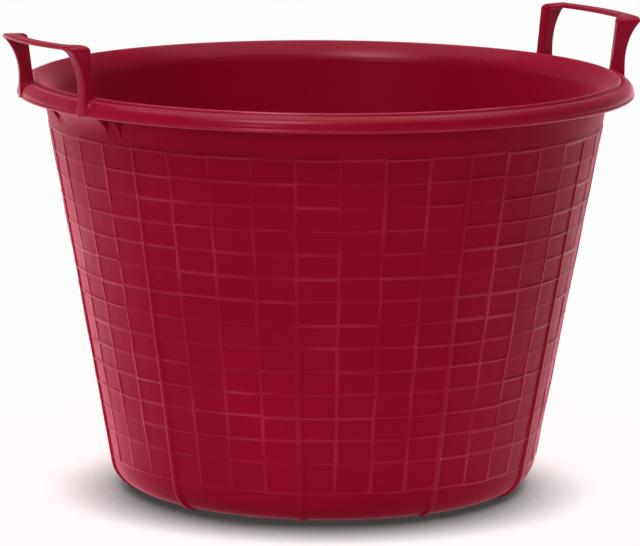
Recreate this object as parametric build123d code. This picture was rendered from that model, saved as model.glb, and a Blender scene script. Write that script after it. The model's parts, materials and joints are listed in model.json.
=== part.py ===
from build123d import *
import os
from math import atan, cos, degrees, radians, sin, tan

os.makedirs("parts", exist_ok=True)

# Driving sizes in millimetres. The tub stands on z = 0 with its axis on Z,
# and the two handles lie on the X axis.
WALL_T = 3.0              # wall and floor thickness
WALL_FOOT_R = 170.1       # outer wall cone carried down to z = 0
WALL_SLOPE = 0.1825       # outward lean of the wall per millimetre of height
WALL_TOP_Z = 319.5        # the wall turns outward into the rim here

HEEL_R = 27.0             # round between wall and floor
FOOT_W = 8.0              # flat ring that the tub stands on
RECESS = 2.0              # lift of the floor above that ring

RIBS = 10                 # tapered stiffening ribs up the wall
RIB_FOOT = (6.4, 3.4, 2.0)    # root width, crest width and height at the heel
RIB_HEAD = (2.8, 1.4, 0.8)    # the same at the top

NET_COLUMNS = 40          # upright lines of the raised net, ribs included
NET_PHASE = 21.5          # degrees from the handle axis to the first rib
NET_H = 0.8               # height of the thin lines
NET_W = 2.2
NET_TOP_Z = 297.5
NET_FOOT_Z = 26.8

LIP_R = 236.8             # crest of the lip
LIP_Z = 335.5
LIP_W = 1.6               # bevel of the lip's inner edge
LIP_DROP = 0.8
FLARE_RISE = 6.6          # the wall's line is followed this far up by the flare's first leg
GROOVE_R = 239.2          # groove outside the lip, where the flange begins
GROOVE_Z = 333.2

RIM_R = 250.0             # outer face of the skirt
SKIRT_Z = 321.4           # lower edge of the skirt
SKIRT_H = 2.4             # straight part of the skirt below the shoulder
SHELL = 2.6               # thickness of flange and skirt

POST_ANGLE = 14.3         # half the angle between a handle's two posts
POST_W = 9.0
POST_OUT_R = 250.8        # outer face, a little proud of the skirt
POST_IN_R = 237.9         # inner face carried down to the skirt's lower edge
POST_LEAN = 6.2           # outward lean of the inner face up to the grip
POST_FLARE_Z = 341.0      # the outer face starts to flare here
POST_TURN_R = 251.4       # corner that the flare rounds off
POST_TURN_Z = 362.5
POST_TOE = 3.6            # round of the foot's lower corners on the skirt

GRIP_IN_R = 251.5         # inner edge between the posts
GRIP_OUT_R = 263.6
GRIP_Z = 374.6            # underside of the grip
GRIP_T = 3.4
GRIP_CORNER = 1.5         # bevel of its four corners seen from above

GUSSET_ANGLES = (-5.9, -1.7, 14.7, 18.6)    # degrees from the handle axis
GUSSET_T = 2.0
GUSSET_FOOT_Z = 302.0
WEB_TOP_Z = 316.0         # back of the web between the two middle gussets, on the wall

# Rounds that run all the way round the tub are turned in a few straight steps.
HEEL_STEPS = 4
HEEL_IN_STEPS = 3
SHOULDER_STEPS = 4
FUNNEL_STEPS = 2
UNDER_STEPS = 2
FLARE_STEPS = 4
GUSSET_STEPS = 4

LEAN = atan(WALL_SLOPE)
HEEL_SWEEP = 90 - degrees(LEAN)
HEEL_IN_R = HEEL_R - WALL_T
HEEL_CENTRE_R = WALL_FOOT_R - HEEL_R * tan(radians(HEEL_SWEEP) / 2)


def wall_r(z):
    """Radius of the outer wall at a height."""
    return WALL_FOOT_R + WALL_SLOPE * z


def heel_round(radius, steps):
    """Points of an arc about the heel's centre, from the standing ring up to the wall."""
    angles = [radians(HEEL_SWEEP * i / steps) for i in range(steps + 1)]
    return [(HEEL_CENTRE_R + radius * sin(a), HEEL_R - radius * cos(a)) for a in angles]


def rounded(start, corner, end, steps):
    """Points of the round that leaves start towards the corner and reaches end from it.

    It is the conic through both ends that is tangent to the corner's two legs.
    """
    start, corner, end = Vector(start), Vector(corner), Vector(end)
    pull = cos(radians((corner - start).get_angle(end - corner)) / 2)
    points = []
    for i in range(steps + 1):
        t = i / steps
        weights = (1 - t) ** 2, 2 * t * (1 - t) * pull, t ** 2
        point = (start * weights[0] + corner * weights[1] + end * weights[2]) / sum(weights)
        points.append((point.X, point.Y))
    return points


def section(*points):
    """Face in the plane of radius and height, inside straight lines through the points."""
    return Plane.XZ * make_face(Polyline(*points, close=True))


def turned(face, angle=360.0):
    """Face swept round the tub's axis, centred on the plane it is drawn in."""
    return Rot(0, 0, -angle / 2) * revolve(face, Axis.Z, angle)


def save(name, *solids):
    """Write one node, with its separate solids, to its file."""
    shape = solids[0] if len(solids) == 1 else Compound(children=list(solids))
    export_step(shape, f"parts/{name}.step")


# Heel: a rounded corner of even thickness that ends in the standing ring.
heel_out = heel_round(HEEL_R, HEEL_STEPS)
heel_in = heel_round(HEEL_IN_R, HEEL_IN_STEPS)
heel_high = heel_out[-1]
heel_in_high = heel_in[-1]
floor_r = HEEL_CENTRE_R - FOOT_W
heel_ring = turned(section((floor_r, 0), *heel_out, *reversed(heel_in), (floor_r, WALL_T)))
save("heel_ring", heel_ring)

# Floor: a disc inside the ring, lifted a little so that it clears the ground.
floor_panel = Pos(0, 0, RECESS) * extrude(Circle(floor_r), WALL_T)
save("floor_panel", floor_panel)

# Wall: one leaning shell between the heel and the rim.
wall_high = (wall_r(WALL_TOP_Z), WALL_TOP_Z)
wall_in_high = (wall_r(WALL_TOP_Z) - WALL_T / cos(LEAN), WALL_TOP_Z)
wall_cone = turned(section(heel_high, wall_high, wall_in_high, heel_in_high))
save("wall_cone", wall_cone)

# Rim: the wall flares out to the lip, drops into a groove and turns down over a
# round shoulder to the skirt, all in one thickness and open from below.
groove = (GROOVE_R, GROOVE_Z)
groove_under = (GROOVE_R, GROOVE_Z - SHELL)
lip = (LIP_R, LIP_Z)
lip_in = (LIP_R - LIP_W, LIP_Z - LIP_DROP)
flare_turn = Vector(FLARE_RISE * WALL_SLOPE, FLARE_RISE)
funnel_in = rounded(wall_in_high, Vector(wall_in_high) + flare_turn, lip_in, FUNNEL_STEPS)
funnel_under = rounded(wall_high, Vector(wall_high) + flare_turn, groove_under, UNDER_STEPS)
skirt = [(RIM_R, SKIRT_Z + SKIRT_H), (RIM_R, SKIRT_Z)]
skirt_in = (RIM_R - SHELL, SKIRT_Z)
shoulder = rounded(groove, (RIM_R, GROOVE_Z), skirt[0], SHOULDER_STEPS)
shoulder_under = rounded(groove_under, (RIM_R - SHELL, GROOVE_Z - SHELL), skirt_in, UNDER_STEPS)
rim_under = funnel_under + shoulder_under[1:]
rolled_rim = turned(section(*funnel_in, lip, *shoulder, skirt[1], *reversed(rim_under)))
save("rolled_rim", rolled_rim)

# Solid fillings of the tub and its rim, which cut ribs and posts to their seats.
tub_core = turned(section((0, 0), *heel_out, wall_high, (0, WALL_TOP_Z)))
rim_core = turned(section((0, GROOVE_Z), *shoulder, skirt[1], (0, SKIRT_Z)))


def rib_section(z, root, crest, height):
    """Trapezoid square to the wall at a height, carried on one millimetre into the wall."""
    on_wall = Plane((wall_r(z), 0, z), x_dir=(0, 1, 0), z_dir=(-sin(LEAN), 0, -cos(LEAN)))
    sunk = root / 2 + (root - crest) / 2 / height
    return on_wall * make_face(Polyline(
        (-sunk, -1),
        (sunk, -1),
        (crest / 2, height),
        (-crest / 2, height),
        close=True,
    ))


# Stiffening ribs: tapered bars on the wall that run round the heel to the ground.
rib_foot = rib_section(heel_high[1], *RIB_FOOT)
rib_head = rib_section(NET_TOP_Z - NET_W / 2, *RIB_HEAD)
heel_axis = Axis((HEEL_CENTRE_R, 0, HEEL_R), (0, 1, 0))
below_ground = Pos(HEEL_CENTRE_R, 0, -HEEL_R) * Box(2 * HEEL_R, 2 * HEEL_R, 2 * HEEL_R)
rib = loft([rib_foot, rib_head]) + revolve(rib_foot, heel_axis, HEEL_SWEEP)
rib = rib - tub_core - below_ground
ribs = [Rot(0, 0, NET_PHASE + 360 / RIBS * i) * rib for i in range(RIBS)]
save("stiffening_ribs", *ribs)


def upright_section(z):
    """Level cut of a thin line at a height, curved on the wall and flat outside."""
    angle = degrees(NET_W / wall_r(NET_TOP_Z))
    root = CenterArc((0, 0), wall_r(z), -angle / 2, angle)
    out = Vector(NET_H, 0)
    return Pos(0, 0, z) * make_face([root, Polyline(root @ 1, root @ 1 + out, root @ 0 + out, root @ 0)])


# Net uprights: thin straight lines on the wall between the ribs.
upright = loft([upright_section(NET_FOOT_Z), upright_section(NET_TOP_Z)], ruled=True)
columns = [i for i in range(NET_COLUMNS) if i % (NET_COLUMNS // RIBS)]
save("net_uprights", *[Rot(0, 0, NET_PHASE + 360 / NET_COLUMNS * i) * upright for i in columns])

# Handle posts: radial uprights whose outer face flares out to carry the grip.
# The rim cuts their feet, so that they seat on its shoulder and its skirt.
post_top_r = POST_IN_R + POST_LEAN
post_sweep = degrees(POST_W / post_top_r)
post_flare = rounded(
    (POST_OUT_R, POST_FLARE_Z),
    (POST_TURN_R, POST_TURN_Z),
    (GRIP_OUT_R, GRIP_Z),
    FLARE_STEPS,
)
post_side = section(
    *post_flare,
    (post_top_r, GRIP_Z),
    (POST_IN_R, SKIRT_Z),
    (POST_OUT_R, SKIRT_Z),
)
post = extrude(post_side, POST_W / 2, both=True)
post = fillet(post.faces().sort_by(Axis.Z)[0].edges().filter_by(Axis.X), POST_TOE) - rim_core


def grip_end(inner, outer, side):
    """Outline of one end of the grip, from its narrow inner edge over a post to its outer edge."""
    corners = [
        Vector(post_top_r, 0).rotate(Axis.Z, side * (POST_ANGLE + turn))
        for turn in (-post_sweep / 2, post_sweep / 2)
    ]
    return Polyline(inner, *corners, outer)


# Grip: a flat strip that follows the rim's curve and widens inward over the two posts.
narrow_sweep = 2 * (POST_ANGLE - post_sweep)
grip_sweep = 2 * POST_ANGLE + post_sweep
grip_in = CenterArc((0, 0), GRIP_IN_R, -narrow_sweep / 2, narrow_sweep)
grip_out = CenterArc((0, 0), GRIP_OUT_R, -grip_sweep / 2, grip_sweep)
grip_ends = [grip_end(grip_in @ 0, grip_out @ 0, -1), grip_end(grip_in @ 1, grip_out @ 1, 1)]
grip_plan = make_face([grip_in, grip_out, *grip_ends])
end_corners = grip_plan.vertices().sort_by(lambda corner: abs(corner.Y))[-4:]
grip_plan = chamfer(end_corners, GRIP_CORNER)
grip = Pos(0, 0, GRIP_Z) * extrude(grip_plan, GRIP_T)

# Gussets: thin fins that fill the hollow under the rim down to a concave edge.
gusset_foot = (wall_r(GUSSET_FOOT_Z), GUSSET_FOOT_Z)
gusset_turn = (wall_r(SKIRT_Z), SKIRT_Z)
gusset_edge = rounded(skirt_in, gusset_turn, gusset_foot, GUSSET_STEPS)
gusset_sweep = degrees(GUSSET_T / RIM_R)
gusset = turned(section(*gusset_edge, *rim_under[:-1]), gusset_sweep)

# Web: a curved panel that joins the free edges of the two middle gussets.
web_foot = (wall_r(WEB_TOP_Z), WEB_TOP_Z)
web_ends = GUSSET_ANGLES[1:3]
web = turned(section(*gusset_edge, web_foot, shoulder_under[1]), web_ends[1] - web_ends[0] - gusset_sweep)

# The two handles are alike, half a turn apart.
handles = {"right": 0, "left": 180}
for side, turn in handles.items():
    save(f"{side}_handle_posts", *[Rot(0, 0, turn + a) * post for a in (-POST_ANGLE, POST_ANGLE)])
    save(f"{side}_handle_grip", Rot(0, 0, turn) * grip)
save("rim_gussets", *[Rot(0, 0, turn + a) * gusset for turn in handles.values() for a in GUSSET_ANGLES])
save("rim_webs", *[Rot(0, 0, turn + sum(web_ends) / 2) * web for turn in handles.values()])
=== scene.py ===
# %% [markdown]
# # A plastic harvest tub
# The tub is one piece of dark red plastic, moulded in one shot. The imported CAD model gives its
# frame: every size below is in millimetres in that frame, with the tub's axis on Z, its foot on
# z = 0 and the two handles on the X axis. Blender adds what the solids keep plain: soft edges, the
# raised net of lines on the wall, and the finish of the plastic.

# %% Load the frame
import json
import bmesh
import bpy
import numpy as np
from mathutils import Matrix, Vector

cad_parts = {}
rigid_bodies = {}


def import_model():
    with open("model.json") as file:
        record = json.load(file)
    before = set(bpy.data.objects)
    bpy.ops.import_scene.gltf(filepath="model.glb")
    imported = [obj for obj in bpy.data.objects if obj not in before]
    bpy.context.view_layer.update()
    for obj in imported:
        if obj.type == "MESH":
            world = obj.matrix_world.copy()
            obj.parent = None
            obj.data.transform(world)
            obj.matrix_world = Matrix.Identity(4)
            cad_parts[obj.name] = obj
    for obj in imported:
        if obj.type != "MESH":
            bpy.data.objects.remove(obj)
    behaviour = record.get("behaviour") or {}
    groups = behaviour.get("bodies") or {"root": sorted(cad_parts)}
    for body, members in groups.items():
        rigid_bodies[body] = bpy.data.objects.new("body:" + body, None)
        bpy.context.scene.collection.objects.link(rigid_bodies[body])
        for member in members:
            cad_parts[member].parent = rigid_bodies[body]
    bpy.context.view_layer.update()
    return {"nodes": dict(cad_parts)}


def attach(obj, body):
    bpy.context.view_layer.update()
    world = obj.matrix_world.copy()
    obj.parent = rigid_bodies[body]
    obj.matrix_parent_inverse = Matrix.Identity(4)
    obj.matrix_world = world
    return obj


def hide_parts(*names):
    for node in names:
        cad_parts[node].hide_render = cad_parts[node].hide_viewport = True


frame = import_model()
MM = 0.001
print("frame nodes:", sorted(frame["nodes"]))

# %% [markdown]
# ## From a grid of points to a skin
# A moulded shell could be modelled by hand, box by box, with a subdivision modifier on top. Here each
# piece is a formula instead: points on a grid of two parameters, computed as one array. One helper
# turns such a grid into a mesh. It joins neighbours into four-sided faces, closes the grid where it
# meets itself, fills the open ends and makes all faces look outward.

# %% Grid to mesh
def skin(name, grid, ring_u=True, ring_v=True, raised=None, crease=50.0):
    """Mesh from grid[u, v] in millimetres: every four neighbours make one face.

    ring_u and ring_v join the last row or column to the first. raised is a value per point that the
    finish reads. Edges that bend by more than the crease angle in degrees stay sharp.
    """
    count_u, count_v = grid.shape[:2]
    index = np.arange(count_u * count_v).reshape(count_u, count_v)
    index = np.vstack([index, index[:1]]) if ring_u else index
    index = np.hstack([index, index[:, :1]]) if ring_v else index
    corners = [index[:-1, :-1], index[1:, :-1], index[1:, 1:], index[:-1, 1:]]
    quads = np.stack(corners, axis=-1).reshape(-1, 4)
    mesh = bpy.data.meshes.new(name)
    mesh.vertices.add(count_u * count_v)
    mesh.vertices.foreach_set("co", (grid * MM).astype(np.float32).ravel())
    mesh.loops.add(quads.size)
    mesh.loops.foreach_set("vertex_index", quads.astype(np.int32).ravel())
    mesh.polygons.add(len(quads))
    mesh.polygons.foreach_set("loop_start", np.arange(0, quads.size, 4, dtype=np.int32))
    mesh.update(calc_edges=True)
    if raised is not None:
        layer = mesh.attributes.new("raised", "FLOAT", "POINT")
        layer.data.foreach_set("value", raised.astype(np.float32).ravel())
    shell = bmesh.new()
    shell.from_mesh(mesh)
    bmesh.ops.remove_doubles(shell, verts=shell.verts, dist=1e-7)
    bmesh.ops.holes_fill(shell, edges=[e for e in shell.edges if e.is_boundary], sides=0)
    bmesh.ops.recalc_face_normals(shell, faces=shell.faces)
    shell.to_mesh(mesh)
    shell.free()
    mesh.shade_smooth()
    mesh.set_sharp_from_angle(angle=np.radians(crease))
    piece = bpy.data.objects.new(name, mesh)
    bpy.context.scene.collection.objects.link(piece)
    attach(piece, "root")
    print(f"{name}: {len(mesh.polygons)} faces")
    return piece


def turned(radius, height, angle):
    """Points of a profile turned about Z: radius and height broadcast against the angle in radians."""
    radius, height, angle = np.broadcast_arrays(radius, height, angle)
    return np.stack([radius * np.cos(angle), radius * np.sin(angle), height], axis=-1)


def conic(start, corner, end, count):
    """Points of a round: it leaves start towards the corner and reaches end coming from the corner.

    It is the weighted mean of the three points with weights (1-t)^2, 2t(1-t)w and t^2, where w is the
    cosine of half the turn at the corner, so that equal legs give a true arc.
    """
    start, corner, end = (np.asarray(p, float) for p in (start, corner, end))
    legs = corner - start, end - corner
    turn = np.dot(*legs) / np.prod([np.linalg.norm(leg) for leg in legs])
    pull = np.sqrt((1 + turn) / 2)
    t = np.linspace(0, 1, count)[:, None]
    weights = (1 - t) ** 2, 2 * t * (1 - t) * pull, t ** 2
    return (weights[0] * start + weights[1] * corner + weights[2] * end) / sum(weights)


# %% [markdown]
# ## The wall with its raised net
# The wall is a leaning cone that turns into the floor over a rounded heel. A net of thin raised lines
# covers it, uneven as if it had been engraved into the mould by hand: forty upright lines, every fourth
# of them a stout tapered rib, and fifteen level lines. A bump map would shade such lines but leave the
# outline smooth, so the relief is real here. The grid's own lines follow the net: each net line gets
# seven grid lines across its width and each cell two more, so that few faces draw clean lines.

# %% Sizes of the wall
WALL_T = 3.0
WALL_FOOT_R = 170.1
WALL_SLOPE = 0.1825
WALL_TOP_Z = 319.5
HEEL_R = 27.0
FOOT_W = 8.0
FLOOR_LIFT = 2.0
COLUMNS = 40
RIB_EVERY = 4
NET_PHASE = 21.5
NET_W = 2.9
NET_H = 0.95
NET_TOP_Z = 297.5
ROW_STEP = 18.92
EVEN_ROWS = 14
NET_FOOT_Z = 26.75
RIB_FOOT = (6.4, 2.0)
RIB_HEAD = (2.8, 0.8)
RIB_TAPER_Z = 22.7
RIB_FLANK = 0.42
RIB_END = 3.0
RIB_RUB_AND_HIGHLIGHT = 0.35
LEAN = np.arctan(WALL_SLOPE)
HEEL_SWEEP = np.pi / 2 - LEAN
HEEL_CENTRE_R = WALL_FOOT_R - HEEL_R * np.tan(HEEL_SWEEP / 2)
FLOOR_R = HEEL_CENTRE_R - FOOT_W
chance = np.random.default_rng(11)


def wall_r(z):
    """Radius of the outer wall at a height: it grows in a straight line with the height."""
    return WALL_FOOT_R + WALL_SLOPE * z


row_z = np.append(NET_TOP_Z - ROW_STEP * np.arange(EVEN_ROWS), NET_FOOT_Z)
print("net rows from", row_z[0], "to", row_z[-1])

# %% Grid lines that follow the net
ACROSS = np.array([-1.6, -1.0, -0.55, 0.0, 0.55, 1.0, 1.6])
SWELL = np.array([0.0, 0.12, 0.8, 1.0, 0.8, 0.12, 0.0])
STEPS = np.array([1, 2]) / 3

line_z = row_z[:, None] - ACROSS * NET_W / 2
cell_z = line_z[:-1, -1:] + (line_z[1:, :1] - line_z[:-1, -1:]) * STEPS
net_z = np.append(np.hstack([line_z[:-1], cell_z]).ravel(), line_z[-1])
net_swell = np.append(np.tile(np.append(SWELL, [0, 0]), len(row_z) - 1), SWELL)
net_across = np.append(np.tile(np.append(ACROSS, [0, 0]), len(row_z) - 1), ACROSS)
band_z = np.linspace(WALL_TOP_Z, net_z[0], 6)[:-1]
heel_turn = np.linspace(HEEL_SWEEP, 0, 14)
print(len(net_z), "levels draw", len(row_z), "rows")

# %% Profile of the wall, outside and inside
# One closed line, down the outside, under the foot ring and up the inside. Beside each outer point
# stands the direction that faces outward there, along which the relief is raised.
straight_z = np.append(band_z, net_z)
out_r = np.append(wall_r(straight_z), HEEL_CENTRE_R + HEEL_R * np.sin(heel_turn))
out_z = np.append(straight_z, HEEL_R * (1 - np.cos(heel_turn)))
face_r = np.append(np.full(len(straight_z), np.cos(LEAN)), np.sin(heel_turn))
face_z = np.append(np.full(len(straight_z), -np.sin(LEAN)), -np.cos(heel_turn))

heel_in = heel_turn[::-1]
IN_R = HEEL_R - WALL_T
foot_r = np.array([FLOOR_R + 1, FLOOR_R, FLOOR_R])
foot_z = np.array([0.0, 0.8, FLOOR_LIFT + WALL_T])
ramp = conic((FLOOR_R, FLOOR_LIFT + WALL_T), (FLOOR_R + 4, WALL_T), (HEEL_CENTRE_R, WALL_T), 6)[1:]
wall_in_top = wall_r(WALL_TOP_Z) - WALL_T / np.cos(LEAN)
rise = np.linspace(0, 1, 12)[1:]
heel_in_r = HEEL_CENTRE_R + IN_R * np.sin(heel_in)
heel_in_z = HEEL_R - IN_R * np.cos(heel_in)
up_r = heel_in_r[-1] + (wall_in_top - heel_in_r[-1]) * rise
up_z = heel_in_z[-1] + (WALL_TOP_Z - heel_in_z[-1]) * rise
in_r = np.concatenate([foot_r, ramp[:-1, 0], heel_in_r, up_r])
in_z = np.concatenate([foot_z, ramp[:-1, 1], heel_in_z, up_z])
print("profile points:", len(out_r), "outside,", len(in_r), "inside")

# %% Columns of the net
# Each point of the outer profile has a place between net rows, as weights on the two rows next to it.
clamped = np.clip(out_z, row_z[-1], row_z[0])
row_place = np.interp(-clamped, -row_z, np.arange(len(row_z)))
row_weight = np.clip(1 - np.abs(row_place[:, None] - np.arange(len(row_z))), 0, 1)
is_rib = np.arange(COLUMNS) % RIB_EVERY == 0
rib_place = np.clip((out_z - RIB_TAPER_Z) / (NET_TOP_Z - RIB_TAPER_Z), 0, 1)[:, None]
rib_w = RIB_FOOT[0] + (RIB_HEAD[0] - RIB_FOOT[0]) * rib_place
half_w = np.where(is_rib, rib_w, NET_W) / 2
half_angle = half_w / out_r[:, None]
column_angle = np.radians(NET_PHASE + 360 / COLUMNS * np.arange(COLUMNS))

line_angle = column_angle[:, None] + half_angle[..., None] * ACROSS
next_start = np.roll(line_angle[..., :1], -1, axis=1)
next_start[:, -1] += 2 * np.pi
cell_angle = line_angle[..., -1:] + (next_start - line_angle[..., -1:]) * STEPS
out_angle = np.concatenate([line_angle, cell_angle], axis=-1)
print("grid lines around:", out_angle.shape[1] * out_angle.shape[2])

# %% [markdown]
# The lines are not ruler straight. Six small tables of chance numbers, one value for each stretch of
# line between two crossings, shift the level lines up and down, lean the upright ones, and make some
# stretches fainter or wider. The tables are seeded, so the tub comes out the same every time.

# %% Uneven lines
SHIFT = 0.65
RIB_SHARE = 0.25
FAINT = 0.15
WIDER = 0.35
cells = (len(row_z), COLUMNS)
level_shift = chance.uniform(-SHIFT, SHIFT, cells)
upright_shift = chance.uniform(-SHIFT, SHIFT, cells)
level_depth = chance.uniform(FAINT, 1, cells)
upright_depth = chance.uniform(FAINT, 1, cells)
level_width = chance.uniform(-WIDER, WIDER, cells)
upright_width = chance.uniform(-WIDER, WIDER, cells) * ~is_rib
BESIDE = np.array([0, 0, 0.2, 0.5, 0.8, 1, 1, 1, 1])
BETWEEN = np.append(np.zeros(7), STEPS)


def by_stretch(table):
    """Table value at each point: constant along a stretch, easing into the next one at the crossing."""
    before = np.roll(table, 1, axis=1)[..., None]
    along = before + (table[..., None] - before) * BESIDE
    return np.einsum("pr,rck->pck", row_weight, along)


def by_column(table):
    """Table value at each point: exact on a column, in proportion between two columns."""
    here = (row_weight @ table)[..., None]
    return here + (np.roll(here, -1, axis=1) - here) * BETWEEN


inside_net = ((out_z < NET_TOP_Z + NET_W) & (out_z > NET_FOOT_Z - NET_W))[:, None, None]
row_across = np.concatenate([np.zeros(len(band_z)), net_across, np.zeros(len(heel_turn))])
row_across = row_across[:, None, None]
column_across = np.append(ACROSS, [0, 0]) * NET_W / 2
shift_z = (by_stretch(level_shift) - by_stretch(level_width) * row_across * NET_W / 2) * inside_net
shift_s = by_column(np.where(is_rib, RIB_SHARE, 1.0) * upright_shift)
shift_s = shift_s + (row_weight @ upright_width)[..., None] * column_across
shift_angle = shift_s * inside_net / out_r[:, None, None]
print("largest shift of a level line:", round(float(np.abs(shift_z).max()), 2), "mm")

# %% Relief of lines and ribs
swell = np.concatenate([np.zeros(len(band_z)), net_swell, np.zeros(len(heel_turn))])
rib_swell = np.clip((1 - np.abs(ACROSS)) / RIB_FLANK, 0, 1)
across_cell = np.append(SWELL, [0, 0])
level_relief = NET_H * swell[:, None, None] * by_stretch(level_depth)
upright_on = ((out_z <= NET_TOP_Z) & (out_z >= NET_FOOT_Z))[:, None, None]
upright_relief = NET_H * across_cell * (row_weight @ upright_depth)[..., None] * upright_on

heel_angle = np.append(np.full(len(straight_z), HEEL_SWEEP), heel_turn)
to_ground = HEEL_R / np.cos(heel_angle) - HEEL_R
rib_h = np.minimum(RIB_FOOT[1] + (RIB_HEAD[1] - RIB_FOOT[1]) * rib_place[:, 0], to_ground)
rib_h = rib_h * np.clip((NET_TOP_Z + RIB_END / 2 - out_z) / RIB_END, 0, 1)
rib_relief = rib_h[:, None, None] * np.append(rib_swell, [0, 0]) * is_rib[:, None]
relief = np.maximum(np.maximum(level_relief, upright_relief * ~is_rib[:, None]), rib_relief)
print("relief up to", round(float(relief.max()), 2), "mm")

# %% Wall skin
angle = (out_angle + shift_angle).reshape(len(out_r), -1)
height = (out_z[:, None, None] + shift_z + relief * face_z[:, None, None]).reshape(len(out_r), -1)
lean_r = WALL_SLOPE * shift_z + relief * face_r[:, None, None]
radius = (out_r[:, None, None] + lean_r).reshape(len(out_r), -1)
inner_angle = np.broadcast_to(angle[len(straight_z) // 2], (len(in_r), angle.shape[1]))
outside = turned(radius, height, angle)
inside = turned(in_r[:, None], in_z[:, None], inner_angle)
# The crests of tall ribs are painted paler: partly wear, partly a painted highlight of the edge that
# catches the light.
crest = RIB_RUB_AND_HIGHLIGHT * np.append(rib_swell, [0, 0]) * is_rib[:, None] * (rib_h > 0.2)[:, None, None]
rub_and_highlight = np.maximum(np.maximum(level_relief, upright_relief * ~is_rib[:, None]) / NET_H, crest)
raised = np.clip(rub_and_highlight, 0, 1).reshape(len(out_r), -1)
raised = np.vstack([raised, np.zeros(inside.shape[:2])])
wall = skin("wall_and_heel", np.concatenate([outside, inside]), raised=raised, crease=60)
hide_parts("wall_cone", "heel_ring", "stiffening_ribs", "net_uprights")

# %% [markdown]
# ## The floor
# The floor is a flat disc set a little above the ring that the tub stands on, so that the tub does not
# rock. In the middle of its underside a low round stub is left where the plastic entered the mould. A
# disc primitive has no such steps, so one profile is turned about the axis.

# %% Floor skin
GATE_R = 6.0
GATE_H = 1.2
floor_top = FLOOR_LIFT + WALL_T
gate = conic((0, FLOOR_LIFT - GATE_H), (GATE_R, FLOOR_LIFT - GATE_H), (GATE_R, FLOOR_LIFT), 6)
under = np.array([[GATE_R + 3, FLOOR_LIFT], [FLOOR_R * 0.5, FLOOR_LIFT], [FLOOR_R, FLOOR_LIFT]])
over = np.array([[FLOOR_R, floor_top], [FLOOR_R * 0.5, floor_top], [0, floor_top]])
floor_line = np.concatenate([gate, under, over])
around = np.linspace(0, 2 * np.pi, 180, endpoint=False)
floor = skin("floor_disc", turned(floor_line[:, :1], floor_line[:, 1:], around), ring_u=False)
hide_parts("floor_panel")

# %% [markdown]
# ## The rolled rim
# At the top the wall flares out to a narrow lip, drops into a groove and rolls down over a round
# shoulder to a short skirt. The hollow under the shoulder makes the edge stiff without much plastic.
# A lathe curve with a screw modifier would do. Turning a profile of rounds as an array gives the same
# skin, and each round keeps the name of the feature that it draws.

# %% Rim skin
LIP_R, LIP_Z = 236.8, 335.5
RIM_R = 250.0
SKIRT_Z = 321.4
SHELL = 2.6
FLARE_RISE = 6.6
# How much paler the lip and the skirt's edge are painted: partly wear, partly a painted highlight.
LIP_RUB_AND_HIGHLIGHT = 1.0
BEAD_RUB_AND_HIGHLIGHT = 0.4
GROOVE_R, GROOVE_Z = 239.1, 332.5
wall_out = np.array([wall_r(WALL_TOP_Z), WALL_TOP_Z])
wall_in = np.array([wall_in_top, WALL_TOP_Z])
up_wall = FLARE_RISE * np.array([WALL_SLOPE, 1])
lip_in = (LIP_R - 1.5, LIP_Z - 0.9)
lip = np.concatenate([
    conic(lip_in, (LIP_R - 0.6, LIP_Z), (LIP_R + 0.1, LIP_Z), 5),
    conic((LIP_R + 0.1, LIP_Z), (LIP_R + 1.2, LIP_Z), (LIP_R + 1.5, LIP_Z - 1.2), 5)[1:],
])
rim_over = np.concatenate([
    conic((LIP_R + 1.7, LIP_Z - 2.0), (GROOVE_R, GROOVE_Z - 0.3), (GROOVE_R + 1.3, GROOVE_Z + 0.5), 5),
    conic((GROOVE_R + 2.2, GROOVE_Z + 0.8), (RIM_R - 0.7, GROOVE_Z + 1.0),
          (RIM_R - 0.6, SKIRT_Z + 3), 18),
])
edge_bead = np.concatenate([
    conic((RIM_R - 0.5, SKIRT_Z + 2.6), (RIM_R - 0.4, SKIRT_Z + 2.2), (RIM_R - 0.1, SKIRT_Z + 1.9), 3),
    conic((RIM_R, SKIRT_Z + 1.4), (RIM_R, SKIRT_Z), (RIM_R - 1.2, SKIRT_Z), 7),
])
hollow = np.concatenate([
    conic((RIM_R - SHELL, SKIRT_Z), (RIM_R - SHELL, GROOVE_Z - SHELL), (GROOVE_R, GROOVE_Z - SHELL), 10),
    conic((GROOVE_R, GROOVE_Z - SHELL), wall_out + up_wall, wall_out, 12)[1:],
])
funnel = conic(wall_in, wall_in + up_wall, lip_in, 14)

# Stacked tubs rub at the lip and at the skirt's edge, so these carry the same paler colour and gloss as
# the net lines: partly wear, partly a painted highlight of the bright lines along these edges.
rim_parts = ((funnel, 0.0), (lip[1:], LIP_RUB_AND_HIGHLIGHT), (rim_over, 0.0), (edge_bead, BEAD_RUB_AND_HIGHLIGHT), (hollow, 0.0))
rim_line = np.concatenate([part for part, rub_and_highlight_share in rim_parts])
around = np.linspace(0, 2 * np.pi, 360, endpoint=False)
rub_and_highlight_line = np.concatenate([np.full(len(part), rub_and_highlight_share) for part, rub_and_highlight_share in rim_parts])
rim = skin("rolled_rim_skin", turned(rim_line[:, :1], rim_line[:, 1:], around),
           raised=np.repeat(rub_and_highlight_line[:, None], len(around), axis=1), crease=60)
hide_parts("rolled_rim")

# %% [markdown]
# ## The handles
# Each handle is a bow that stands on the rim: two posts that flare outward, and a narrow strip that
# joins them and follows the rim's curve. It is moulded with the tub, so its feet melt into the shoulder
# and run down over the skirt. A curve with a bevel object would give one section for the whole bow, but
# here the depth changes all along it. So a rectangle with round corners is carried along the bow as one
# array, and its inner and outer faces come from formulas of the place.

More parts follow.
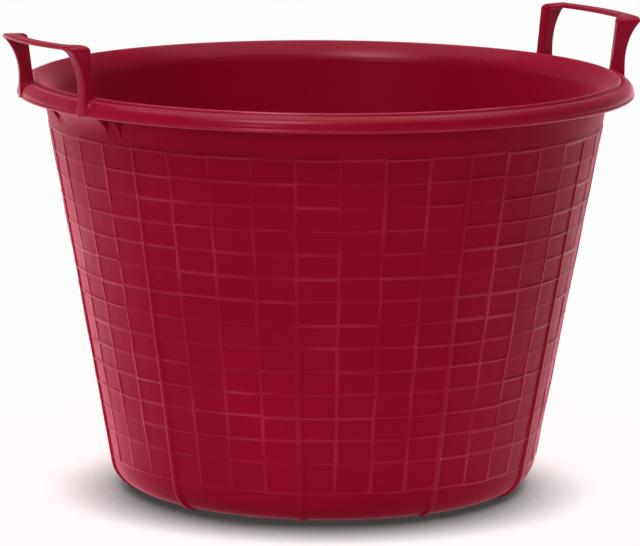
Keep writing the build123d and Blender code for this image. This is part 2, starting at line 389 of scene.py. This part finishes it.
# %% Sizes of the handles
POST_ANGLE = np.radians(14.3)
POST_W = 9.0
POST_OUT_R = 250.8
POST_IN_R = 237.9
POST_LEAN = 6.2
FLARE_START = (POST_OUT_R, 341.0)
FLARE_TURN = (251.4, 362.5)
GRIP_IN_R = 251.5
GRIP_OUT_R = 263.6
GRIP_Z = 374.6
GRIP_T = 3.4
GRIP_TOP = GRIP_Z + GRIP_T
TOE = 3.6
SOFT = 1.3
BOW_R = 246.0
NECK = 12.0
NECK_DROP = 8.0
NECK_EASE = 4.0
TOP_ROUND = 4.5
STRIP_FLAT = 0.6
INNER_ROUND = 3.0
RIGHT_SAG = (0.0, 0.8)
LEFT_SAG = (4.2, 0.7)
half_out = BOW_R * POST_ANGLE + POST_W / 2
half_in = half_out - POST_W
print("clear width of the handle:", round(2 * half_in, 1), "mm")

# %% Faces of the bow
flare_line = conic(FLARE_START, FLARE_TURN, (GRIP_OUT_R, GRIP_Z), 40)


def ease(t):
    """Smooth step from 0 to 1: 3t^2 - 2t^3 between the ends, and held outside them."""
    t = np.clip(t, 0, 1)
    return t * t * (3 - 2 * t)


def outer_face(z):
    """Radius of the outer face: upright on the skirt, then a round flare out to the grip's edge."""
    return np.interp(z, flare_line[:, 1], flare_line[:, 0])


def inner_face(s, z):
    """Radius of the inner face at a place along the rim and a height.

    It leans outward with the height, rolls over at the top, and steps out between the posts to the
    narrow strip.
    """
    lean = POST_LEAN * (np.minimum(z, GRIP_Z) - SKIRT_Z) / (GRIP_Z - SKIRT_Z)
    narrow = ease((half_in - np.abs(s)) / NECK) * ease((z - GRIP_Z + NECK_DROP) / NECK_EASE)
    rise = np.clip(z - (GRIP_TOP - TOP_ROUND), 0, TOP_ROUND)
    over = TOP_ROUND - np.sqrt(TOP_ROUND ** 2 - rise ** 2)
    step = GRIP_IN_R - POST_IN_R - POST_LEAN
    return POST_IN_R + lean + step * narrow + over * (1 - STRIP_FLAT * narrow)


def rim_top(radius):
    """Height of the rim's upper side at a radius, read from the rim's own profile."""
    return np.interp(radius, rim_over[:, 0], rim_over[:, 1])


# %% Section with round corners
# Each point of the section has a corner centre, as a share of the half sizes, and a direction in which
# it stands off from that centre. Four turns of one side and one corner make the whole ring.
LONG_SIDE = np.array([-0.9, -0.7, -0.4, 0.0, 0.4, 0.7, 0.9])
SHORT_SIDE = np.array([-0.5, 0.0, 0.5])
bend = np.linspace(0, np.pi / 2, 5)
corner_way = np.stack([np.cos(bend), np.sin(bend)], axis=-1)
ring = []
for turn, side in enumerate((LONG_SIDE, SHORT_SIDE) * 2):
    centre = np.vstack([np.stack([np.ones_like(side), side], axis=-1), np.ones_like(corner_way)])
    way = np.vstack([np.tile([1.0, 0.0], (len(side), 1)), corner_way])
    c, s = np.cos(turn * np.pi / 2), np.sin(turn * np.pi / 2)
    ring.append(np.hstack([centre @ [[c, s], [-s, c]], way @ [[c, s], [-s, c]]]))
centre_a, centre_b, way_a, way_b = np.vstack(ring).T
print("points in the section:", len(centre_a))


def across(centre, way, half):
    """Place across a half size: share of what the round leaves, and the round itself."""
    soft = np.minimum(SOFT, 0.85 * half)
    return centre * (half - soft) + way * soft


def radius_at(s, z):
    """Radius of the section's points, between the two faces where each point lies."""
    low, high = inner_face(s, z), outer_face(z)
    return (low + high) / 2 + across(centre_b, way_b, (high - low) / 2)


# %% Corner and strip of half a bow
# The bow is drawn flat, with s along the rim and z up. Its inner and outer lines run from the top of a
# post round the corner to the middle of the grip.
corner_z = GRIP_Z - INNER_ROUND
quarter = np.linspace(0, np.pi / 2, 12)
SQUARISH = 2 / 3.2
strip_s = (half_in - INNER_ROUND) * np.linspace(1, 0, 22)[1:]
corner_out = np.stack([half_in - INNER_ROUND + (POST_W + INNER_ROUND) * np.cos(quarter) ** SQUARISH,
                       corner_z + (GRIP_TOP - corner_z) * np.sin(quarter) ** SQUARISH], axis=-1)
corner_in = np.stack([half_in - INNER_ROUND * (1 - np.cos(quarter)),
                      corner_z + INNER_ROUND * np.sin(quarter)], axis=-1)
line_out = np.vstack([corner_out, np.stack([strip_s, np.full_like(strip_s, GRIP_TOP)], axis=-1)])
line_in = np.vstack([corner_in, np.stack([strip_s, np.full_like(strip_s, GRIP_Z)], axis=-1)])
half_way = (line_out - line_in) / 2
half_thick = np.linalg.norm(half_way, axis=-1, keepdims=True)
offset = across(centre_a, way_a, half_thick) / half_thick
bow_s = ((line_out + line_in) / 2)[:, :1] + half_way[:, :1] * offset
bow_z = ((line_out + line_in) / 2)[:, 1:] + half_way[:, 1:] * offset
print("bow stations:", len(line_out))

# %% Post of half a bow
# The foot follows the rim: it sinks a little into the shoulder, spreads over it with a soft root, and
# its outer part runs down the skirt to a round toe.
FOOT_SPREAD = 4.0
FOOT_SINK = 0.8
foot_s = bow_s[:1]
foot_r = radius_at(foot_s, np.full_like(foot_s, LIP_Z))
off_centre = np.abs(foot_s - (half_out + half_in) / 2)
toe = TOE - np.sqrt(TOE ** 2 - np.clip(off_centre - POST_W / 2 + TOE, 0, TOE) ** 2)
on_skirt = foot_r > RIM_R - 0.4
foot_z = np.where(on_skirt, SKIRT_Z + toe, rim_top(foot_r) - FOOT_SINK)
climb = np.linspace(0, 1, 36)[:-1, None] ** 1.3
post_z = foot_z + (bow_z[:1] - foot_z) * climb
post_r = radius_at(foot_s, post_z)
rim_skin = np.concatenate([rim_over, edge_bead])
gap = np.hypot(post_r[..., None] - rim_skin[:, 0], post_z[..., None] - rim_skin[:, 1]).min(axis=-1)
gap = np.where((post_r < RIM_R - 0.6) & (post_z < rim_top(post_r)), 0, gap)
reach = np.clip(FOOT_SPREAD - gap, 0, FOOT_SPREAD)
post_s = foot_s + centre_a * (FOOT_SPREAD - np.sqrt(FOOT_SPREAD ** 2 - reach ** 2))
half_s = np.vstack([post_s, bow_s])
half_z = np.vstack([post_z, bow_z])
half_r = radius_at(half_s, half_z)
print("rows from foot to middle:", len(half_s))

# %% Handle skins
# Both halves are alike. Use has bent the grips down a little, most at the back of the left one.
whole_s = np.vstack([half_s, -half_s[-2::-1]])
whole_z = np.vstack([half_z, half_z[-2::-1]])
whole_r = np.vstack([half_r, half_r[-2::-1]])
lifted = np.clip((whole_z - LIP_Z) / (GRIP_TOP - LIP_Z), 0, 1)
for side, turn, sag in (("right", 0.0, RIGHT_SAG), ("left", np.pi, LEFT_SAG)):
    bent_z = whole_z - lifted * np.interp(whole_s, (-half_out, half_out), sag)
    handle = skin(f"{side}_handle_bow", turned(whole_r, bent_z, whole_s / BOW_R + turn), ring_u=False)
    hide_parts(f"{side}_handle_posts", f"{side}_handle_grip")

# %% [markdown]
# ## The fins and webs under the rim
# At each handle four thin fins brace the rim against the wall, and a wider curved web joins the two in
# the middle. Their free edge is a hollow curve. They could be cut from plates, but they are moulded, so
# the edges are round. Fin and web are one formula: a strip from the hollow of the rim out to the free
# edge, as wide as two angles say.

# %% Fin and web skins
FIN_ANGLES = (-5.9, -1.7, 14.7, 18.6)
FIN_T = 2.0
FIN_FOOT_Z = 302.0
EDGE = np.degrees(FIN_T / 2 / RIM_R)
EDGE_SHARE = 0.1
free_edge = conic((RIM_R - SHELL, SKIRT_Z + 0.2), (wall_r(SKIRT_Z), SKIRT_Z),
                  (wall_r(FIN_FOOT_Z), FIN_FOOT_Z), 20)
middle_r, middle_z = RIM_R - SHELL / 2, GROOVE_Z - SHELL / 2
in_plastic = np.concatenate([
    conic((middle_r, SKIRT_Z + 1), (middle_r, middle_z), (GROOVE_R, middle_z), 8),
    conic((GROOVE_R, middle_z), wall_out + up_wall - (1, 0), wall_out - (1, 0), 8)[1:],
    [(wall_r(FIN_FOOT_Z) - 1, FIN_FOOT_Z + 1)],
])
along = np.append(0, np.cumsum(np.linalg.norm(np.diff(in_plastic, axis=0), axis=1)))
even = np.linspace(0, along[-1], 20)
hidden_edge = np.stack([np.interp(even, along, in_plastic[:, k]) for k in (0, 1)], axis=-1)


def brace(name, first, last, node):
    """Strip between two angles in degrees: hidden edge, round to the free edge, across it, and back."""
    bend = np.linspace(0, np.pi / 2, 5)
    flat = np.linspace(first + EDGE, last - EDGE, 2 + int(last - first))[1:-1]
    rising, falling = 1 - np.cos(bend), 1 - np.sin(bend)
    back = np.append(flat, last)[::-1]
    angle = np.concatenate([[first], first + EDGE * rising, flat, last - EDGE * falling, back])
    share = np.concatenate([EDGE_SHARE * falling, 0 * flat, EDGE_SHARE * rising])
    depth = np.concatenate([[1.0], share, np.ones_like(back)])
    line = free_edge[:, None] + (hidden_edge - free_edge)[:, None] * depth[:, None]
    piece = skin(name, turned(line[..., 0], line[..., 1], np.radians(angle)), ring_u=False, crease=60)
    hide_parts(node)


for side, turn in (("right", 0), ("left", 180)):
    brace(f"{side}_web", turn + FIN_ANGLES[1], turn + FIN_ANGLES[2], "rim_webs")
    for number, place in enumerate(FIN_ANGLES):
        brace(f"{side}_fin_{number}", turn + place - EDGE, turn + place + EDGE, "rim_gussets")

# %% [markdown]
# ## The plastic
# The plastic is coloured right through. It is not one flat colour: thicker places look deeper, handling
# dulls it, and the raised lines and the rim's edges are painted paler: partly wear where tubs slide into
# each other, partly a painted highlight for the light that these edges catch. Noise on the object's own
# coordinates gives the clouds and the dull spots, the relief value that wall and rim carry gives the
# pale lines, which are smoother too, and a very fine bump gives the moulded skin. A sheen gives the pale
# haze of scuffed plastic at its edges. Rim and handles come from polished parts of the mould and the wall
# from an engraved one, so the same finish is made three times, with more and less gloss.

# %% Node helpers
def noise(nodes, links, scale, detail=2.0):
    """Noise texture on the object's own coordinates, with its scale in waves per metre."""
    place = nodes.new("ShaderNodeTexCoord")
    texture = nodes.new("ShaderNodeTexNoise")
    texture.inputs["Scale"].default_value = scale
    texture.inputs["Detail"].default_value = detail
    links.new(place.outputs["Object"], texture.inputs["Vector"])
    return texture.outputs["Fac"]


def ramp_between(nodes, links, value, low, high, result_low, result_high):
    """Value mapped in a straight line from one range to another, and held at both ends."""
    node = nodes.new("ShaderNodeMapRange")
    numbers = low, high, result_low, result_high
    for socket, number in zip(("From Min", "From Max", "To Min", "To Max"), numbers):
        node.inputs[socket].default_value = number
    links.new(value, node.inputs["Value"])
    return node.outputs["Result"]


def blend(nodes, links, factor, first, second):
    """Mix of two colours, each a socket or a plain colour, by a factor socket."""
    node = nodes.new("ShaderNodeMix")
    node.data_type = "RGBA"
    links.new(factor, node.inputs["Factor"])
    for socket, colour in ((node.inputs[6], first), (node.inputs[7], second)):
        if isinstance(colour, tuple):
            socket.default_value = (*colour, 1.0)
        else:
            links.new(colour, socket)
    return node.outputs[2]


# %% Burgundy plastic
DEEP = (0.235, 0.0016, 0.0165)
FULL = (0.272, 0.0022, 0.0205)
# Paler pink of the raised lines and the rim's edges: partly wear, partly a painted highlight.
RUB_AND_HIGHLIGHT_TINT = (0.36, 0.0120, 0.0500)
POLISH = 0.16
SHINE = 0.18


def moulded(name, gloss, haze, smooth, dull, least_rub_and_highlight=0.1):
    """Dark red plastic: clouds, pale lines, dull spots between two roughnesses, and a fine bump.

    The haze is a pink sheen that shows where the surface turns away from the eye. The paleness of the
    lines is partly rubbing and partly a painted highlight. The last argument is the share of it that
    every raised line has, and noise adds the rest in places.
    """
    finish = bpy.data.materials.new(name)
    finish.use_nodes = True
    nodes, links = finish.node_tree.nodes, finish.node_tree.links
    shader = nodes["Principled BSDF"]
    shader.inputs["Specular Tint"].default_value = (1.0, 0.5, 0.6, 1.0)
    shader.inputs["Sheen Weight"].default_value = haze
    shader.inputs["Sheen Roughness"].default_value = 0.3
    shader.inputs["Sheen Tint"].default_value = (1.0, 0.22, 0.34, 1.0)
    cloud = ramp_between(nodes, links, noise(nodes, links, 7.0), 0.3, 0.7, 0.0, 1.0)
    lines = nodes.new("ShaderNodeAttribute")
    lines.attribute_name = "raised"
    wear_and_highlight = nodes.new("ShaderNodeMath")
    wear_and_highlight.operation = "MULTIPLY"
    links.new(lines.outputs["Fac"], wear_and_highlight.inputs[0])
    rub_and_highlight_share = ramp_between(nodes, links, noise(nodes, links, 16.0), 0.35, 0.65, least_rub_and_highlight, 0.9)
    links.new(rub_and_highlight_share, wear_and_highlight.inputs[1])
    # Base colour: clouds of tone, blended to the paler pink where lines are raised. That paleness is
    # partly wear and partly a painted highlight.
    colour = blend(nodes, links, wear_and_highlight.outputs["Value"], blend(nodes, links, cloud, DEEP, FULL), RUB_AND_HIGHLIGHT_TINT)
    links.new(colour, shader.inputs["Base Color"])
    spots = ramp_between(nodes, links, noise(nodes, links, 30.0, 4.0), 0.3, 0.7, smooth, dull)
    polish = nodes.new("ShaderNodeMath")
    polish.operation = "MULTIPLY_ADD"
    polish.inputs[1].default_value = -POLISH
    links.new(wear_and_highlight.outputs["Value"], polish.inputs[0])
    links.new(spots, polish.inputs[2])
    links.new(polish.outputs["Value"], shader.inputs["Roughness"])
    shine = ramp_between(nodes, links, wear_and_highlight.outputs["Value"], 0.0, 1.0, gloss, gloss + SHINE)
    links.new(shine, shader.inputs["Specular IOR Level"])
    bump = nodes.new("ShaderNodeBump")
    bump.inputs["Strength"].default_value = 0.15
    bump.inputs["Distance"].default_value = 0.0004
    links.new(noise(nodes, links, 420.0, 3.0), bump.inputs["Height"])
    links.new(bump.outputs["Normal"], shader.inputs["Normal"])
    return finish


engraved = moulded("burgundy_wall", 0.03, 1.0, 0.28, 0.42)
polished = moulded("burgundy_rim", 0.23, 0.9, 0.22, 0.34, least_rub_and_highlight=0.7)
handled = moulded("burgundy_handle", 0.15, 0.35, 0.20, 0.32)
for piece in bpy.data.objects:
    if piece.type == "MESH":
        piece.data.materials.clear()
        worn = handled if "handle" in piece.name else engraved
        piece.data.materials.append(polished if piece is rim else worn)
print("finishes:", engraved.name, polished.name, handled.name)

# %% [markdown]
# ## Floor, light and camera
# Dark plastic shows best in a white room. An even wash lights the floor, and large soft panels light the
# tub: one overhead for the flange, one at the upper left for the wall, one at the left side, and a wide
# one behind that the haze picks up as pale edges. A small panel in front sets glints on the raised lines,
# and a faint one at the floor stands for the light that a white floor throws back under the heel. The
# wash itself throws no shadow. The floor darkens by occlusion instead, measured about a direction that
# leans to the back, so that the shade falls in front of the tub. The camera has the photo's view.

# %% Floor and sky
SHADE_REACH = 0.08
SHADE_LEAN = (0.38, 0.65, 0.0)
ground = bpy.data.meshes.new("ground")
ground.from_pydata([(-20, -20, 0), (20, -20, 0), (20, 20, 0), (-20, 20, 0)], [], [(0, 1, 2, 3)])
sweep = bpy.data.objects.new("ground", ground)
bpy.context.scene.collection.objects.link(sweep)
white = bpy.data.materials.new("white_sweep")
white.use_nodes = True
nodes, links = white.node_tree.nodes, white.node_tree.links
nodes["Principled BSDF"].inputs["Roughness"].default_value = 1.0
nodes["Principled BSDF"].inputs["Specular IOR Level"].default_value = 0.0
near = nodes.new("ShaderNodeAmbientOcclusion")
near.inputs["Distance"].default_value = SHADE_REACH
lean_back = nodes.new("ShaderNodeVectorMath")
lean_back.inputs[1].default_value = SHADE_LEAN
links.new(nodes.new("ShaderNodeNewGeometry").outputs["Normal"], lean_back.inputs[0])
links.new(lean_back.outputs["Vector"], near.inputs["Normal"])
shade = ramp_between(nodes, links, near.outputs["AO"], 0.3, 0.85, 0.05, 0.96)
links.new(shade, nodes["Principled BSDF"].inputs["Base Color"])
ground.materials.append(white)

sky = bpy.data.worlds.new("soft_sky")
bpy.context.scene.world = sky
sky.use_nodes = True
sky.node_tree.nodes["Background"].inputs["Color"].default_value = (1, 1, 1, 1)
sky.node_tree.nodes["Background"].inputs["Strength"].default_value = 0.12

# %% Lamps
VIEW_TURN = np.radians(-26.6)


def group(name, pieces):
    """Collection that a lamp can name as the things it lights or the things that shade it."""
    made = bpy.data.collections.new(name)
    for piece in pieces:
        made.objects.link(piece)
    return made


def lamp(kind, name, strength, where, lit, mirrored=False, **settings):
    """Lamp that lights one group, at a place in the camera's frame (right, back, up in metres).

    It is aimed at the tub, and only a mirrored lamp shows in the gloss.
    """
    data = bpy.data.lights.new(name, kind)
    data.energy = strength
    for key, value in settings.items():
        setattr(data, key, value)
    light = bpy.data.objects.new(name, data)
    bpy.context.scene.collection.objects.link(light)
    spot = Matrix.Rotation(VIEW_TURN, 3, "Z") @ Vector(where)
    light.location = spot
    light.rotation_euler = (Vector((0, 0, 0.2)) - spot).to_track_quat("-Z", "Y").to_euler()
    light.light_linking.receiver_collection = lit
    light.visible_glossy = mirrored
    light.visible_camera = False
    return light


tub = [piece for piece in bpy.data.objects if piece.type == "MESH" and piece is not sweep]
whole_tub = group("whole_tub", tub)
floor_only = group("floor_only", [sweep])
wash = lamp("SUN", "floor_wash", 2.85, (0, 0, 2.0), floor_only)
wash.light_linking.blocker_collection = floor_only
lamp("AREA", "top", 27.0, (0, 0, 1.9), whole_tub, mirrored=True, size=2.4)
lamp("AREA", "top_left", 30.0, (-0.7, -1.5, 2.4), whole_tub, mirrored=True, size=0.9)
lamp("AREA", "glint", 6.0, (-0.98, -2.2, 1.07), whole_tub, mirrored=True, size=0.3)
lamp("AREA", "left_side", 18.0, (-1.6, 0.9, 0.6), whole_tub, size=1.0)
lamp("AREA", "under_heel", 0.5, (0, 0, 0.001), whole_tub, shape="DISK", size=0.6)
lamp("AREA", "backdrop", 60.0, (-0.3, 3.0, 1.0), whole_tub, size=4.0)

# %% Camera
camera = bpy.data.objects.new("camera", bpy.data.cameras.new("camera"))
bpy.context.scene.collection.objects.link(camera)
bpy.context.scene.camera = camera
camera.data.lens = 240.89
camera.data.sensor_width = 36.0
camera.data.sensor_fit = "HORIZONTAL"
camera.data.clip_end = 100.0
PITCH = np.radians(9.8154)
ROLL = np.radians(0.4025)
around_tub = Matrix.Rotation(VIEW_TURN, 4, "Z")
stand = Matrix.Translation((-0.00365, -3.4488, 0.7686))
tilt = Matrix.Rotation(np.pi / 2 - PITCH, 4, "X") @ Matrix.Rotation(ROLL, 4, "Z")
camera.matrix_world = around_tub @ stand @ tilt
bpy.context.scene.view_settings.view_transform = "Standard"
